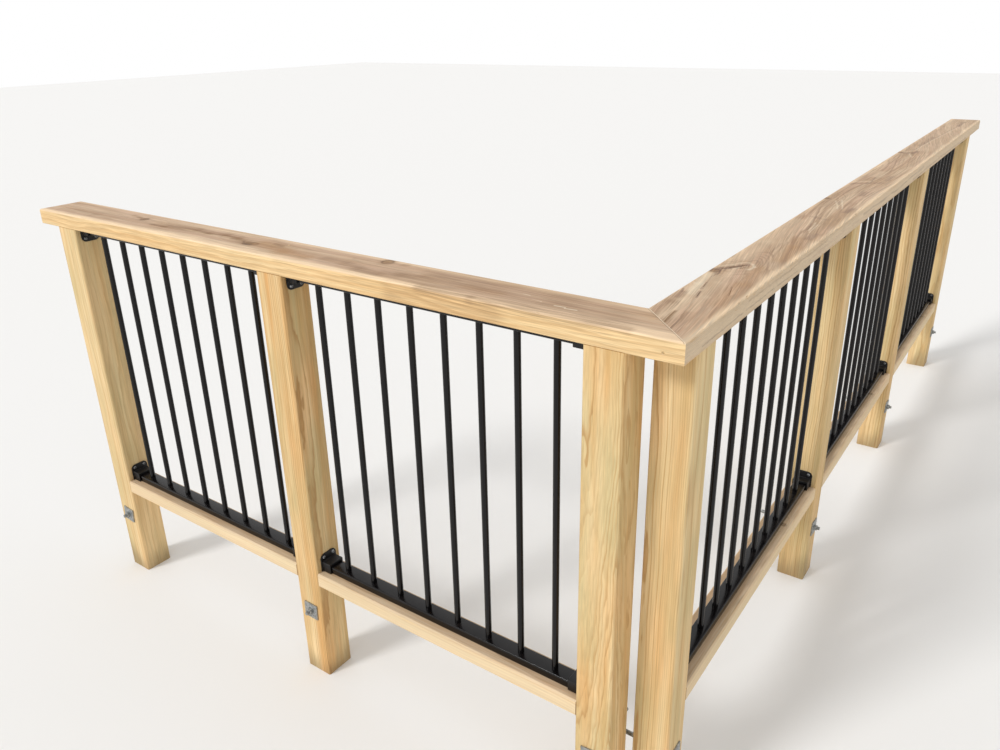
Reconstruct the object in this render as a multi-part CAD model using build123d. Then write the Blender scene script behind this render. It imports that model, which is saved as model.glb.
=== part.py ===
from build123d import *
import os

# Timber balustrade round the corner of a stairwell: a short run of two bays and a long
# run of three meet at a mitred corner. Millimetres, +Z up. The origin is the middle of
# the long run's corner post, at its foot. The long run goes along +Y with its outer
# side to +X, the short run along -X with its outer side to -Y.

# posts
post_width = 90.0
post_arris = 3.0
post_height = 1255.0
corner_gap_x = 14.0  # clear between the two corner posts, across the long run
corner_gap_y = 5.0  # the same, along the long run

# clear widths between posts, each run counted from the corner
short_run_bays = (852.0, 842.0)
long_run_bays = (1058.0, 1045.0, 1038.0)

# timber rails
top_rail_width = 140.0
top_rail_depth = 45.0
top_rail_arris = 5.0  # its upper edges
top_rail_lower_arris = 2.0
short_run_rail_proud = 0.0  # how far a top rail stands outside its posts
long_run_rail_proud = 12.0
short_run_rail_tail = 94.0  # top rail past the last post
long_run_rail_tail = 203.0
base_rail_depth = 45.0
base_rail_arris = 4.0
base_rail_clear = 325.0  # foot of the posts to the underside of the base rail

# aluminium infill panels
panel_rail_width = 40.0
foot_rail_depth = 22.0
head_rail_depth = 16.0
panel_rail_wall = 2.0
bar_diameter = 16.0
bar_pitch = 98.0

# the bracket at each end of a panel rail: a plate on the post, and a hood over the rail
plate_width = 58.0
foot_plate_rise = 32.0  # how far a plate stands past its rail
head_plate_rise = 26.0
plate_thickness = 4.0
plate_corner = 15.0
hood_width = 50.0
hood_reach = 34.0
foot_hood_roof = 9.0
head_hood_roof = 4.0
hood_clearance = 0.25

# wall anchors: a threaded rod through each post, with a square washer and a nut
rod_diameter = 12.0
rod_hole = 15.0
rod_drop = 101.0  # underside of the base rail to the rod
corner_stagger = 30.0  # the long run's rods sit this much lower, clear of the others
wall_embedment = 90.0
washer_width = 50.0
washer_thickness = 4.0
nut_across_flats = 18.0
nut_height = 10.0
rod_tail = 8.0  # rod showing beyond the nut

base_rail_top = base_rail_clear + base_rail_depth
panel_height = post_height - base_rail_top
post_face = post_width / 2


def run_stations(bays):
    """Middles of a run's posts, measured from its corner post."""
    stations = [0.0]
    for clear in bays:
        stations.append(stations[-1] + post_width + clear)
    return stations


class Run:
    """One leg of the balustrade: local X follows it away from the corner."""

    def __init__(self, name, corner, heading, outward, bays, proud, tail, rod_shift):
        self.name = name
        self.frame = Location((corner[0], corner[1], 0), (0, 0, heading))
        self.outward = outward  # the sign of local Y on the outer side
        self.bays = bays
        self.stations = run_stations(bays)
        self.rail_middle = outward * (post_face + proud - top_rail_width / 2)
        self.rail_end = self.stations[-1] + post_face + tail
        self.rod_level = base_rail_clear - rod_drop - rod_shift


short_corner = (-(post_width + corner_gap_x), -(post_width + corner_gap_y))
short_run = Run(
    "short_run", short_corner, 180, 1, short_run_bays,
    short_run_rail_proud, short_run_rail_tail, 0,
)
long_run = Run(
    "long_run", (0.0, 0.0), 90, -1, long_run_bays,
    long_run_rail_proud, long_run_rail_tail, corner_stagger,
)

# where the outer faces of the two top rails meet
mitre_x = post_face + long_run_rail_proud
mitre_y = short_corner[1] - post_face - short_run_rail_proud


def eased(outline, arris):
    """An outline with its corners taken off, as a planer leaves a timber's long edges."""
    return chamfer(outline.vertices(), arris)


def post(run):
    body = extrude(eased(Rectangle(post_width, post_width), post_arris), post_height)
    hole = Cylinder(rod_hole / 2, 2 * post_width, rotation=(90, 0, 0))
    return body - Pos(0, 0, run.rod_level) * hole


def anchor(run):
    """A rod through the post and into the wall, with its washer and nut, as one solid."""
    face = Plane(
        (0, run.outward * post_face, run.rod_level), x_dir=(1, 0, 0), z_dir=(0, run.outward, 0)
    )
    washer = extrude(face * Rectangle(washer_width, washer_width), washer_thickness)
    hexagon = RegularPolygon(nut_across_flats / 2, 6, major_radius=False)
    nut = extrude(face.offset(washer_thickness) * hexagon, nut_height)
    inner_length = post_width + wall_embedment
    outer_length = washer_thickness + nut_height + rod_tail
    rod_end = face.offset(-inner_length) * Circle(rod_diameter / 2)
    return washer + nut + extrude(rod_end, inner_length + outer_length)


def top_rail(run, mitre_corner):
    """A top rail cut to 45 degrees where it meets the other one."""
    blank_start = -2 * top_rail_width - post_width
    section = Rectangle(top_rail_width, top_rail_depth)
    section = fillet(section.vertices().group_by(Axis.Y)[-1], top_rail_arris)
    section = chamfer(section.vertices().group_by(Axis.Y)[0], top_rail_lower_arris)
    section = Plane.YZ * Pos(run.rail_middle, post_height + top_rail_depth / 2) * section
    blank = Pos(blank_start, 0, 0) * extrude(section, run.rail_end - blank_start)
    corner = run.frame.inverse() * Pos(mitre_corner[0], mitre_corner[1], post_height)
    inward = Vector(1, run.outward, 0).normalized()
    mitre = Plane(corner.position, z_dir=inward)
    return split(blank, bisect_by=mitre, keep=Keep.TOP)


def base_rail(clear):
    section = eased(Rectangle(post_width, base_rail_depth), base_rail_arris)
    return extrude(Plane.YZ * Pos(0, base_rail_clear + base_rail_depth / 2) * section, clear)


def panel_rail(clear, depth, underside):
    """A hollow rail that butts against the plate of a bracket at each end."""
    outer = Rectangle(panel_rail_width, depth)
    inner = Rectangle(panel_rail_width - 2 * panel_rail_wall, depth - 2 * panel_rail_wall)
    section = Plane.YZ * Pos(0, underside + depth / 2) * (outer - inner)
    return Pos(plate_thickness, 0, 0) * extrude(section, clear - 2 * plate_thickness)


def bars(clear):
    """Round bars between the panel rails, spread evenly about the middle of the bay."""
    count = int(clear // bar_pitch)
    length = panel_height - foot_rail_depth - head_rail_depth
    first = (clear - (count - 1) * bar_pitch) / 2
    seat = base_rail_top + foot_rail_depth
    upright = extrude(Circle(bar_diameter / 2), length)
    return [Pos(first + n * bar_pitch, 0, seat) * upright for n in range(count)]


def bracket(rail_depth, plate_rise, roof):
    """A plate with two round corners and a hood that the panel rail slides into.

    The plate lies on Z-Y at X = 0 and the hood opens towards +X and downwards.
    """
    plate_height = rail_depth + plate_rise
    outline = Plane.YZ * Pos(0, plate_height / 2) * Rectangle(plate_width, plate_height)
    plate = extrude(outline, plate_thickness)
    top_corners = plate.edges().filter_by(Axis.X).group_by(Axis.Z)[-1]
    plate = fillet(top_corners, plate_corner)
    hood_height = rail_depth + roof
    hood_outline = Plane.YZ * Pos(0, hood_height / 2) * Rectangle(hood_width, hood_height)
    hood = extrude(hood_outline, hood_reach)
    cavity_width = panel_rail_width + 2 * hood_clearance
    cavity_height = rail_depth + hood_clearance
    cavity = Plane.YZ.offset(plate_thickness) * Pos(0, cavity_height / 2) * Rectangle(
        cavity_width, cavity_height
    )
    return plate + hood - extrude(cavity, hood_reach)


def bracket_set(clear):
    """The four brackets of a bay: two on the base rail, two under the top rail."""
    at_far_end = Pos(clear, 0, 0) * Rot(0, 0, 180)
    low = bracket(foot_rail_depth, foot_plate_rise, foot_hood_roof)
    high = Rot(180, 0, 0) * bracket(head_rail_depth, head_plate_rise, head_hood_roof)
    foot = [Pos(0, 0, base_rail_top) * part for part in (low, at_far_end * low)]
    head = [Pos(0, 0, post_height) * part for part in (high, at_far_end * high)]
    return foot + head


def save(name, shape):
    solids = shape if isinstance(shape, list) else [shape]
    whole = Compound(children=[s for part in solids for s in part.solids()])
    export_step(whole, f"parts/{name}.step")


os.makedirs("parts", exist_ok=True)

post_titles = {
    short_run: ("corner", "middle", "end"),
    long_run: ("corner", "second", "third", "end"),
}
for run, titles in post_titles.items():
    for title, station in zip(titles, run.stations):
        spot = run.frame * Pos(station, 0, 0)
        save(f"{run.name}_{title}_post", spot * post(run))
        save(f"{run.name}_{title}_anchor", spot * anchor(run))
    save(f"{run.name}_top_rail", run.frame * top_rail(run, (mitre_x, mitre_y)))

# bays are numbered from the short run's free end to the long run's
short_bays = len(short_run_bays)
long_bays = len(long_run_bays)
bay_numbers = {
    short_run: range(short_bays, 0, -1),
    long_run: range(short_bays + 1, short_bays + long_bays + 1),
}
for run, numbers in bay_numbers.items():
    for number, clear, station in zip(numbers, run.bays, run.stations):
        bay = run.frame * Pos(station + post_face, 0, 0)
        name = f"bay_{number}"
        save(f"{name}_base_rail", bay * base_rail(clear))
        head_rail_underside = post_height - head_rail_depth
        save(f"{name}_foot_rail", bay * panel_rail(clear, foot_rail_depth, base_rail_top))
        save(f"{name}_head_rail", bay * panel_rail(clear, head_rail_depth, head_rail_underside))
        save(f"{name}_bars", [bay * bar for bar in bars(clear)])
        save(f"{name}_brackets", [bay * part for part in bracket_set(clear)])
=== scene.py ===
import math
import random
from functools import partial

import bmesh
import bpy
from mathutils import Matrix, Vector


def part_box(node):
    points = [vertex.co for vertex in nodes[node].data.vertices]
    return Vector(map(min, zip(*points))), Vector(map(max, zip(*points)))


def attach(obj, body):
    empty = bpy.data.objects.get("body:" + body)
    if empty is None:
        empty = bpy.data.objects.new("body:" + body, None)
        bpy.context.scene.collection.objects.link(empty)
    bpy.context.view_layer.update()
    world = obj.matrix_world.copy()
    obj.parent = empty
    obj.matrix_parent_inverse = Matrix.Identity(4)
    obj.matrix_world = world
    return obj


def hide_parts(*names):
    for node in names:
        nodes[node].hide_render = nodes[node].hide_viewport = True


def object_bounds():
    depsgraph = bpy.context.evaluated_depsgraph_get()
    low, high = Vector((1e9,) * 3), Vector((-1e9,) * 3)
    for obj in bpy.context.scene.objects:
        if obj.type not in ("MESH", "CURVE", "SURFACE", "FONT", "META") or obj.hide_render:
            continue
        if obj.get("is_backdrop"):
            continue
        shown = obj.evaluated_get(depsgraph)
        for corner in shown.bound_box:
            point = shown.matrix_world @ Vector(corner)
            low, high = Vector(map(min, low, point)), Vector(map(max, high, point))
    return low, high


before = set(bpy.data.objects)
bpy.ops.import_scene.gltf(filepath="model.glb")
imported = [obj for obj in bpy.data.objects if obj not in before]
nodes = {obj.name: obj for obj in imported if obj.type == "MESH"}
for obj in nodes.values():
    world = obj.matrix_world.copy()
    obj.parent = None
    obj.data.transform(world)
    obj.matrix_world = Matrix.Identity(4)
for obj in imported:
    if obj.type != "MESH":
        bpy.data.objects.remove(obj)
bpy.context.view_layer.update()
print("frame loaded:", len(nodes), "nodes")

mm = 0.001
topLevel = 1300  # the top rails' upper face, in millimetres
scalarMath = "ShaderNodeMath"
vectorMath = "ShaderNodeVectorMath"
mapRange = "ShaderNodeMapRange"  # in order: value, from min, from max, to min, to max
mixColour = "ShaderNodeMixRGB"
noiseTexture = "ShaderNodeTexNoise"
smoothly = {"interpolation_type": "SMOOTHSTEP"}
bays = range(1, 6)


def linear(hexColour):
    parts = [int(hexColour[i:i + 2], 16) / 255 for i in (1, 3, 5)]
    return [c / 12.92 if c <= 0.04045 else ((c + 0.055) / 1.055) ** 2.4 for c in parts] + [1.0]


def addNode(tree, kind, inputs=(), operation=None, **settings):
    # a node with its settings, then a value, a hex colour or a link for each input, by name
    # or in order
    node = tree.nodes.new(kind)
    if operation:
        node.operation = operation
    for name, value in settings.items():
        setattr(node, name, value)
    pairs = inputs.items() if isinstance(inputs, dict) else enumerate(inputs)
    for key, value in pairs:
        if isinstance(value, bpy.types.Node):
            value = value.outputs[0]
        if isinstance(value, bpy.types.NodeSocket):
            tree.links.new(value, node.inputs[key])
            continue
        if isinstance(value, str) and value.startswith("#"):
            value = linear(value)
        node.inputs[key].default_value = value
    return node


def newGroup(name, kind, inputs, outputs):
    # inputs and outputs are {socket type: names}, and add puts a node in the new group
    group = bpy.data.node_groups.new(name, kind)
    for side, sockets in (("INPUT", inputs), ("OUTPUT", outputs)):
        for socketType, names in sockets.items():
            for key in names:
                group.interface.new_socket(key, in_out=side, socket_type="NodeSocket" + socketType)
    add = partial(addNode, group)
    return group, add, add("NodeGroupInput").outputs


def newMaterial(name):
    # an empty material, add for its nodes, and where its points are in millimetres
    mat = bpy.data.materials.new(name)
    mat.use_nodes = True
    mat.node_tree.nodes.clear()
    add = partial(addNode, mat.node_tree)
    place = add("ShaderNodeTexCoord").outputs["Object"]
    return mat, add, add(vectorMath, {0: place, "Scale": 1 / mm}, "SCALE")


def newPiece(name, mesh):
    obj = bpy.data.objects.new(name, mesh)
    bpy.context.collection.objects.link(obj)
    return obj


def measured(name):
    # a node's two corners and middle in millimetres, and the axis it runs along
    low, high = [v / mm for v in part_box(name)]
    return low, high, (low + high) / 2, 0 if high.x - low.x > high.y - low.y else 1


def settle(obj):
    # the evaluated shape becomes a plain mesh, and its modifiers go
    graph = bpy.context.evaluated_depsgraph_get()
    graph.update()
    shape = obj.evaluated_get(graph)
    made = bpy.data.meshes.new_from_object(shape, preserve_all_data_layers=True, depsgraph=graph)
    obj.modifiers.clear()
    obj.data = made
    return obj


def shadeSmooth(mesh):
    # smooth, and sharp where two faces meet at a clear angle
    mesh.shade_smooth()
    mesh.set_sharp_from_angle(angle=math.radians(38))


def roundOff(obj, width, steps, method="ANGLE"):
    # a piece with eased edges, as a plain mesh
    bevel = obj.modifiers.new("easedEdges", "BEVEL")
    bevel.width = width
    bevel.segments = steps
    bevel.limit_method = method
    bevel.angle_limit = math.radians(40)
    settle(obj)
    shadeSmooth(obj.data)
    return obj


def dress(obj, slot, *replaced):
    # a finished piece rides on the root and stands in for its nodes
    if replaced:
        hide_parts(*replaced)
    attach(obj, "root")


def growOnPoints(name, group, spots, sizes, others):
    # spots are (place, the way it faces), and the group grows its pieces there. Places and
    # sizes are in millimetres.
    mesh = bpy.data.meshes.new(name)
    mesh.from_pydata([[v * mm for v in place] for place, way in spots], [], [])
    facing = mesh.attributes.new("facing", "FLOAT_VECTOR", "POINT")
    for slot, (place, way) in zip(facing.data, spots):
        slot.vector = way
    obj = newPiece(name, mesh)
    grower = obj.modifiers.new(name, "NODES")
    grower.node_group = group
    sockets = {i.name: i.identifier for i in group.interface.items_tree if i.in_out == "INPUT"}
    for key, value in {**{key: value * mm for key, value in sizes.items()}, **others}.items():
        grower[sockets[key]] = value
    return settle(obj)


def standOn(add, geometry, shape, spin):
    # one copy of the shape on each point, its Z along the point's facing, then spun about it
    facing = add("GeometryNodeInputNamedAttribute", {"Name": "facing"}, data_type="FLOAT_VECTOR")
    outward = add("FunctionNodeAlignRotationToVector", {"Vector": facing}, axis="Z")
    aimed = add("FunctionNodeRotateRotation", [outward, spin], rotation_space="LOCAL")
    dots = add("GeometryNodeMeshToPoints", [geometry])
    return add("GeometryNodeInstanceOnPoints", {"Points": dots, "Instance": shape, "Rotation": aimed})


def finishTree(add, geometry, material):
    # real geometry in one material, as the group's output
    real = add("GeometryNodeRealizeInstances", [geometry])
    add("NodeGroupOutput", [add("GeometryNodeSetMaterial", {"Geometry": real, "Material": material})])


# Timber

# A branch in the wood. Reach is a point's distance from it in branch radii. Sway is the same
# with lengths along the grain shrunk, for the swing of the rings round a knot.
branchKnot, add, given = newGroup("branchKnot", "ShaderNodeTree", {
    "Vector": ["Position", "Start", "Finish", "Shrink"], "Float": ["Radius"],
}, {"Float": ["Reach", "Sway"]})
fromStart = add(vectorMath, [given["Position"], given["Start"]], "SUBTRACT")
branch = add(vectorMath, [given["Finish"], given["Start"]], "SUBTRACT")
along = add(vectorMath, [fromStart, branch], "DOT_PRODUCT").outputs["Value"]
whole = add(vectorMath, [branch, branch], "DOT_PRODUCT").outputs["Value"]
share = add("ShaderNodeClamp", [add(scalarMath, [along, whole], "DIVIDE")])
nearest = add(vectorMath, {0: branch, "Scale": share}, "SCALE")
away = add(vectorMath, [fromStart, nearest], "SUBTRACT")
distance = add(vectorMath, [away], "LENGTH").outputs["Value"]
shrunk = add(vectorMath, [away, given["Shrink"]], "MULTIPLY")
shrunkDistance = add(vectorMath, [shrunk], "LENGTH").outputs["Value"]
add("NodeGroupOutput", {
    "Reach": add(scalarMath, [distance, given["Radius"]], "DIVIDE"),
    "Sway": add(scalarMath, [shrunkDistance, given["Radius"]], "DIVIDE"),
})

# A mark along a line: a streak, a scratch or a stain. Fade softens its sides, and Break
# frays them by a share of its half width.
frayWidth = 1.3
mark, add, given = newGroup("mark", "ShaderNodeTree", {
    "Color": ["Colour", "Tint"],
    "Vector": ["Position", "Start", "Finish"],
    "Float": ["Half Width", "Fade", "Amount", "Break"],
}, {"Color": ["Colour"]})
reach = add("ShaderNodeGroup", {
    "Position": given["Position"], "Start": given["Start"], "Finish": given["Finish"],
    "Radius": given["Half Width"],
}, node_tree=branchKnot)
frayed = add(scalarMath, [given["Break"], -0.5], "ADD")
frayed = add(scalarMath, [frayed, frayWidth, reach], "MULTIPLY_ADD")
inner = add(scalarMath, [1.0, given["Fade"]], "SUBTRACT")
outer = add(scalarMath, [1.0, given["Fade"]], "ADD")
share = add(mapRange, [frayed, inner, outer, given["Amount"], 0.0], clamp=False, **smoothly)
add("NodeGroupOutput", [add(mixColour, [share, given["Colour"], given["Tint"]])])

# Growth rings round a heart that swings and wanders. X is along the grain and the unit is
# the millimetre, so a flat-sawn face shows arches and a quarter-sawn one straight lines.
woodPatterns = {  # length along the grain and width across it in millimetres, and detail
    "drift": (520, 240, 1.0),
    "ripple": (90, 18, 2.0),
    "fibre": (90, 2.4, 3.0),
    "streak": (150, 5.5, 2.0),
    "band": (700, 22, 1.5),
    "patch": (260, 60, 2.0),
}
growthRings, add, given = newGroup("growthRings", "ShaderNodeTree", {
    "Vector": ["Position", "Heart"],
    "Float": ["Slant", "Swing", "Swing Rate", "Swing Phase", "Sway", "Ring Width", "Wander",
              "Ripple", "Seed"],
}, {"Float": ["Late", "Fibre", "Streak", "Band", "Patch"]})
position = given["Position"]
lengthways = add("ShaderNodeSeparateXYZ", [position]).outputs["X"]
turn = add(scalarMath, [lengthways, given["Swing Rate"], given["Swing Phase"]], "MULTIPLY_ADD")
swing = add(scalarMath, [turn], "SINE")
slant = add(scalarMath, [lengthways, given["Slant"]], "MULTIPLY")
swing = add(scalarMath, [swing, given["Swing"], slant], "MULTIPLY_ADD")
swing = add("ShaderNodeCombineXYZ", {"Y": swing})
followed = add(vectorMath, [position, swing], "SUBTRACT")
noises = {}
for name, (length, width, detail) in woodPatterns.items():
    stretched = add(vectorMath, [followed, (1 / length, 1 / width, 1 / width)], "MULTIPLY")
    noises[name] = add(noiseTexture, {
        "Vector": stretched, "W": given["Seed"], "Scale": 1.0, "Detail": detail,
    }, noise_dimensions="4D")
half = add(vectorMath, [noises["drift"].outputs["Color"], (0.5, 0.5, 0.5)], "SUBTRACT")
# the noise strays a quarter from its middle, so four of it make one wander
reachOut = add(scalarMath, [given["Wander"], 4.0], "MULTIPLY")
drift = add(vectorMath, {0: half, "Scale": reachOut}, "SCALE")
fromHeart = add(vectorMath, [followed, given["Heart"]], "SUBTRACT")
moved = add(vectorMath, [fromHeart, drift])
across = add(vectorMath, [moved, (0, 1, 1)], "MULTIPLY")
radius = add(vectorMath, [across], "LENGTH").outputs["Value"]
# the rings give way by up to 19 mm round a branch
swell = add(mapRange, [given["Sway"], 0.3, 4.2, 19.0, 0.0], interpolation_type="SMOOTHERSTEP")
bent = add(scalarMath, [radius, swell], "SUBTRACT")
uneven = add(scalarMath, [noises["ripple"], given["Ripple"], bent], "MULTIPLY_ADD")
phase = add(scalarMath, [uneven, given["Ring Width"]], "DIVIDE")
part = add(scalarMath, [phase], "FRACT")
ringNumber = add(scalarMath, [add(scalarMath, [phase], "FLOOR"), given["Seed"]], "ADD")
chance = add("ShaderNodeTexWhiteNoise", {"W": ringNumber}, noise_dimensions="1D")
# late wood builds up slowly and ends at once, and each ring is as dark as chance has it
rise = add(mapRange, [part, 0.12, 0.86], **smoothly)
fall = add(mapRange, [part, 0.88, 1.0, 1.0, 0.0], **smoothly)
shape = add(scalarMath, [rise, fall], "MULTIPLY")
strength = add(mapRange, [chance, 0, 1, 0.4, 1.0])
outputs = {"Late": add(scalarMath, [shape, strength], "MULTIPLY")}
for name in ("fibre", "streak", "band", "patch"):
    outputs[name.title()] = add(mapRange, [noises[name], 0.28, 0.72])
add("NodeGroupOutput", outputs)

# Pressure-treated pine, planed: pale straw early wood, amber late wood, a hint of the
# treatment's green. Weather turns an upper face rosy grey-beige and leaves its arris pale.
pine = {
    "early": "#F0D4A3",
    "late": "#B38447",
    "amber": "#DDAA6C",
    "green": "#B7AC7A",
    "bleached": "#D8BFA0",
    "beige": "#AF9070",
    "rose": "#C7A78D",
    "worn": "#F0D3AE",
    "brown": "#96775A",
    "streak": "#86633F",
    "amberStain": "#A87F54",
    # a pale tint for scratches, also used as painted light over whole outer faces
    "scratchAndPaintedLight": "#EAD9BD",
    "crack": "#6A503A",
    "torn": "#7F6454",
    "knotGrey": "#92704B",
    "knotRim": "#5F472F",
    "soil": "#5E4A35",
    "endGrain": "#B08D5C",
    "roughness": 0.72,
    "knotRimAt": 0.95,  # in branch radii
    "fibreTone": 0.95,  # what the fibres lighten and darken, as a share of the wood's colour
    "soilHeight": 60,  # millimetres above the feet, and how far patches shift it
    "soilShift": 90,
}
toGrain = {  # turns a board's length onto X
    "X": (0, 0, 0),
    "Y": (0, 0, math.radians(-90)),
    "Z": (0, math.radians(90), 0),
}
clearOfKnots = 9.0  # in branch radii
acrossMitre = (0.70711, 0.70711, 0)
shrinkAlong = {"X": (0.34, 1, 1), "Y": (1, 0.34, 1), "Z": (1, 1, 0.34)}


def pineMaterial(name, board):
    mat, add, spot = newMaterial(name)
    shrink = shrinkAlong[board["along"]]
    centred = add(vectorMath, [spot, board["middle"]], "SUBTRACT")
    grain = add("ShaderNodeMapping", {"Vector": centred, "Rotation": toGrain[board["along"]]})

    # marks waver with the grain, knots are torn more finely. Size and how far are in millimetres.
    wavering = add(vectorMath, [spot, shrink], "MULTIPLY")
    loose = []
    for source, size, far in ((wavering, 34, 9), (spot, 13, 5)):
        stir = add(noiseTexture, {"Vector": source, "Scale": 1 / size, "Detail": 2.0})
        offset = add(vectorMath, [stir.outputs["Color"], (0.5, 0.5, 0.5)], "SUBTRACT")
        loose.append(add(vectorMath, [offset, (far, far, far), spot], "MULTIPLY_ADD"))
    marksAt, knotsAt = loose

    # every branch pushes the rings aside, but a bend is one that doesn't reach the face
    reach = sway = clearOfKnots
    for shows, branches in ((True, board.get("knots", [])), (False, board.get("bends", []))):
        for start, finish, size in branches:
            knot = add("ShaderNodeGroup", {
                "Position": knotsAt, "Start": start, "Finish": finish, "Radius": size,
                "Shrink": shrink,
            }, node_tree=branchKnot).outputs
            sway = add(scalarMath, [sway, knot["Sway"]], "MINIMUM")
            if shows:
                reach = add(scalarMath, [reach, knot["Reach"]], "MINIMUM")
    rings = add("ShaderNodeGroup", {
        "Position": grain,
        "Heart": board["heart"],
        "Slant": board.get("slant", 0.0),
        "Swing": board.get("swing", 0.0),
        "Swing Rate": 2 * math.pi / board.get("swingLength", 2000),
        "Swing Phase": board.get("swingPhase", 0.0),
        "Sway": sway,
        "Ring Width": board["ring"],
        "Wander": board["wander"],
        "Ripple": board.get("ripple", 5.0),
        "Seed": board["seed"],
    }, node_tree=growthRings)
    late, fibre, streak, band, patch = rings.outputs
    facing = add("ShaderNodeSeparateXYZ", [add("ShaderNodeNewGeometry").outputs["Normal"]])

    # fresh wood
    wood = pine["early"]
    thinned = add(scalarMath, [late, board.get("thinness", 1.0)], "POWER")
    for pattern, amount, tint in (
        (band, board.get("amber", 0.6), "amber"),
        (patch, board["green"], "green"),
        (thinned, board["contrast"], "late"),
    ):
        share = add(scalarMath, [pattern, amount], "MULTIPLY")
        wood = add(mixColour, [share, wood, pine[tint]])

    # weathered faces: beige, rosy and bleached patches under thin brown lines
    if "weathered" in board:
        grey = add(mixColour, [patch, pine["rose"], pine["beige"]])
        for pattern, start, finish, amount, tint in (
            (band, 0.45, 1.0, 0.8, "bleached"),
            (streak, 0.62, 1.0, board["streaks"], "brown"),
            (streak, 0.38, 0.0, board["streaks"], "bleached"),
        ):
            share = add(mapRange, [pattern, start, finish, 0.0, amount])
            grey = add(mixColour, [share, grey, pine[tint]])
        lines = add(scalarMath, [late, 2.2], "POWER")
        lines = add(scalarMath, [lines, board["lines"]], "MULTIPLY")
        grey = add(mixColour, [lines, grey, pine["brown"]])
        weather = None
        for axis, amount in board["weathered"].items():
            face = add(mapRange, [facing.outputs[axis], 0.35, 0.95, 0.0, amount], **smoothly)
            weather = face if weather is None else add(scalarMath, [weather, face], "MAXIMUM")
        wood = add(mixColour, [weather, wood, grey])
        # the wear along an arris bleaches what the weather greyed
        upper = add(mapRange, [facing.outputs["Z"], 0.1, 0.8])
        places = add("ShaderNodeSeparateXYZ", [spot])
        for axis, edge, depth, amount in board.get("worn", []):
            inFrom = add(scalarMath, [places.outputs[axis], edge], "SUBTRACT")
            inFrom = add(scalarMath, [inFrom], "ABSOLUTE")
            ragged = add(scalarMath, [band, -0.7 * depth, inFrom], "MULTIPLY_ADD")
            worn = add(mapRange, [ragged, -0.2 * depth, depth, amount, 0.0], **smoothly)
            share = add(scalarMath, [worn, upper], "MULTIPLY")
            wood = add(mixColour, [share, wood, pine["worn"]])

    # knots: brown inside, a dark rim of bark, deeper wood round them
    if "knots" in board:
        fromRim = add(scalarMath, [reach, pine["knotRimAt"]], "SUBTRACT")
        fromRim = add(scalarMath, [fromRim], "ABSOLUTE")
        for distance, start, finish, amount, tint in (
            (reach, 0.9, 2.3, 0.45, "brown"),
            (reach, 0.6, 1.1, 0.65, "knotGrey"),
            (fromRim, 0.04, 0.34, 0.6, "knotRim"),
        ):
            share = add(mapRange, [distance, start, finish, amount, 0.0], **smoothly)
            wood = add(mixColour, [share, wood, pine[tint]])

    for path, halfWidth, fade, amount, tint in board.get("marks", []):
        path = [(*point, topLevel)[:3] for point in path]
        for start, finish in zip(path, path[1:]):
            wood = add("ShaderNodeGroup", {
                "Colour": wood, "Position": marksAt, "Start": start, "Finish": finish,
                "Half Width": halfWidth, "Fade": fade, "Amount": amount, "Break": fibre,
                "Tint": pine[tint],
            }, node_tree=mark)

    # sawn ends are darker, and feet are stained by the ground
    endways = add(scalarMath, [facing.outputs[board["along"]]], "ABSOLUTE")
    endShare = add(mapRange, [endways, 0.8, 0.98, 0, 0.7])
    wood = add(mixColour, [endShare, wood, pine["endGrain"]])
    if board["along"] == "Z":
        height = add("ShaderNodeSeparateXYZ", [spot]).outputs["Z"]
        uneven = add(scalarMath, [patch, -pine["soilShift"], height], "MULTIPLY_ADD")
        soil = add(mapRange, [uneven, -pine["soilHeight"], pine["soilHeight"], 0.5, 0.0], **smoothly)
        wood = add(mixColour, [soil, wood, pine["soil"]])
    if "mitre" in board:
        aside = add(vectorMath, [spot, acrossMitre], "DOT_PRODUCT").outputs["Value"]
        # the mitre is a dark crack with a pale line beside it
        for offset, start, finish, amount, tint in (
            (1.9, 0.3, 1.5, 0.5, "crack"),
            (0.0, 0.4, 1.3, 0.7, "scratchAndPaintedLight"),
        ):
            share = add(scalarMath, [aside, offset - board["mitre"]], "ADD")
            share = add(scalarMath, [share], "ABSOLUTE")
            share = add(mapRange, [share, start, finish, amount, 0.0])
            share = add(scalarMath, [share, upper], "MULTIPLY")
            wood = add(mixColour, [share, wood, pine[tint]])
    tone = add(mapRange, [fibre, 0, 1, *board.get("fibres", (0.91, 1.05))])
    if "sideFibres" in board:
        fainter = add(mapRange, [upper, 0, 1, board["sideFibres"], 1.0])
        tone = add(scalarMath, [tone, pine["fibreTone"]], "SUBTRACT")
        tone = add(scalarMath, [tone, fainter, pine["fibreTone"]], "MULTIPLY_ADD")
    wood = add(vectorMath, {0: wood, "Scale": tone}, "SCALE")

    ridges = add(scalarMath, [fibre, 0.5], "MULTIPLY")
    ridges = add(scalarMath, [late, 0.6, ridges], "MULTIPLY_ADD")
    relief = board.get("relief", 0.5)
    bump = add("ShaderNodeBump", {"Height": ridges, "Distance": 0.6 * mm, "Strength": relief})
    rough = add(mapRange, [late, 0, 1, pine["roughness"] + 0.1, pine["roughness"] - 0.08])
    add("ShaderNodeOutputMaterial", [add("ShaderNodeBsdfPrincipled", {
        "Base Color": wood, "Roughness": rough, "Normal": bump, "IOR": 1.45,
    })])
    return mat


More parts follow.
